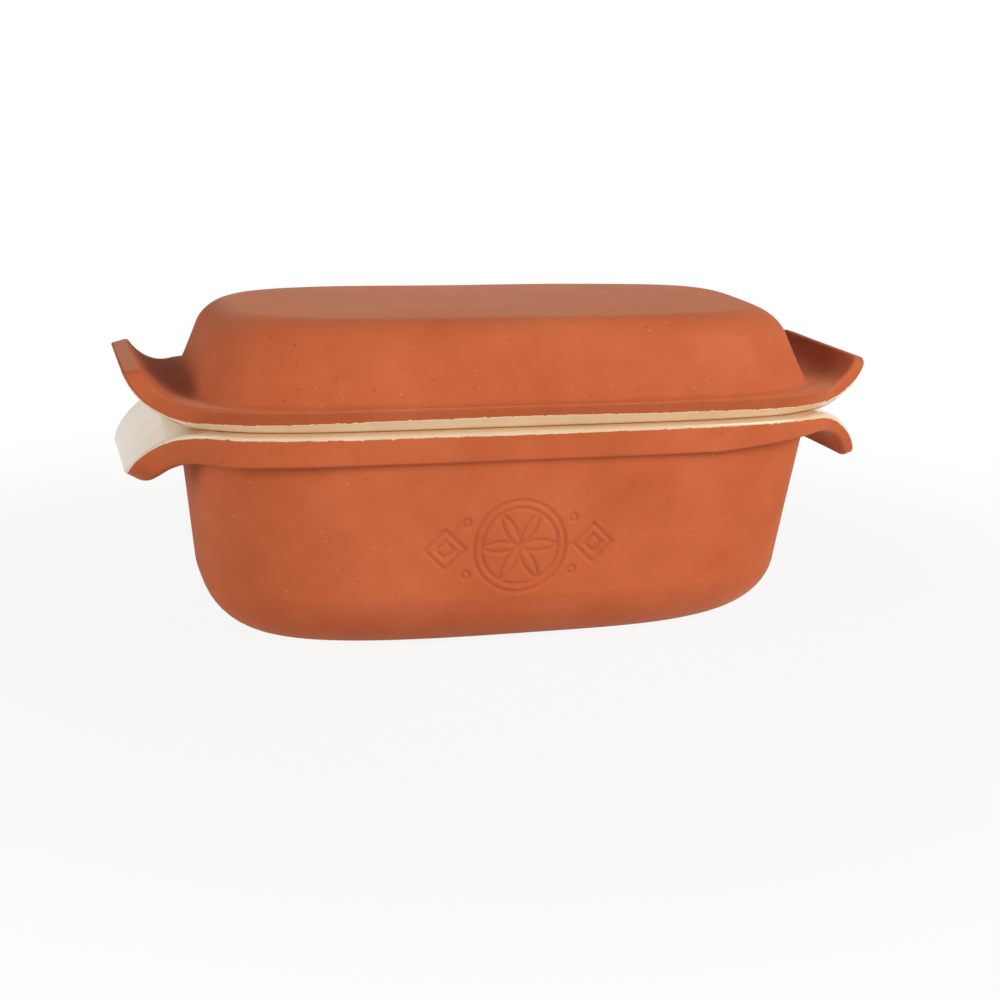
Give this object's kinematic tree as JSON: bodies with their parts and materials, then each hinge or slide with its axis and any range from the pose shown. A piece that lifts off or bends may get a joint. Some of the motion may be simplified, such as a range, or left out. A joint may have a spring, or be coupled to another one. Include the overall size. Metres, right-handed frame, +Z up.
{
  "type": "covered bread pan",
  "caption": "Terracotta loaf baker: a deep dish with leaning walls and curled ears, covered by a shallow domed dish that rests rim to rim on it, both glazed cream inside.",
  "frame": {"origin": "centre of the flat base's plane, under the middle of the whole box", "axes": "+X along the length from ear to ear, +Z up, and the long sides face -Y (front) and +Y"},
  "size_m": [0.346, 0.1516, 0.15],
  "materials": {
    "terracotta": "matte, unglazed",
    "cream_glaze": "glossy"
  },
  "bodies": {
    "pan": {"pan_body": "terracotta", "pan_glaze": "cream_glaze"},
    "lid": {"lid_body": "terracotta", "lid_glaze": "cream_glaze"}
  },
  "joints": [
    {"name": "lid_lift", "type": "slide", "parent": "pan", "child": "lid", "axis": [0, 0, 1], "range_m": [0, 0.12]}
  ]
}
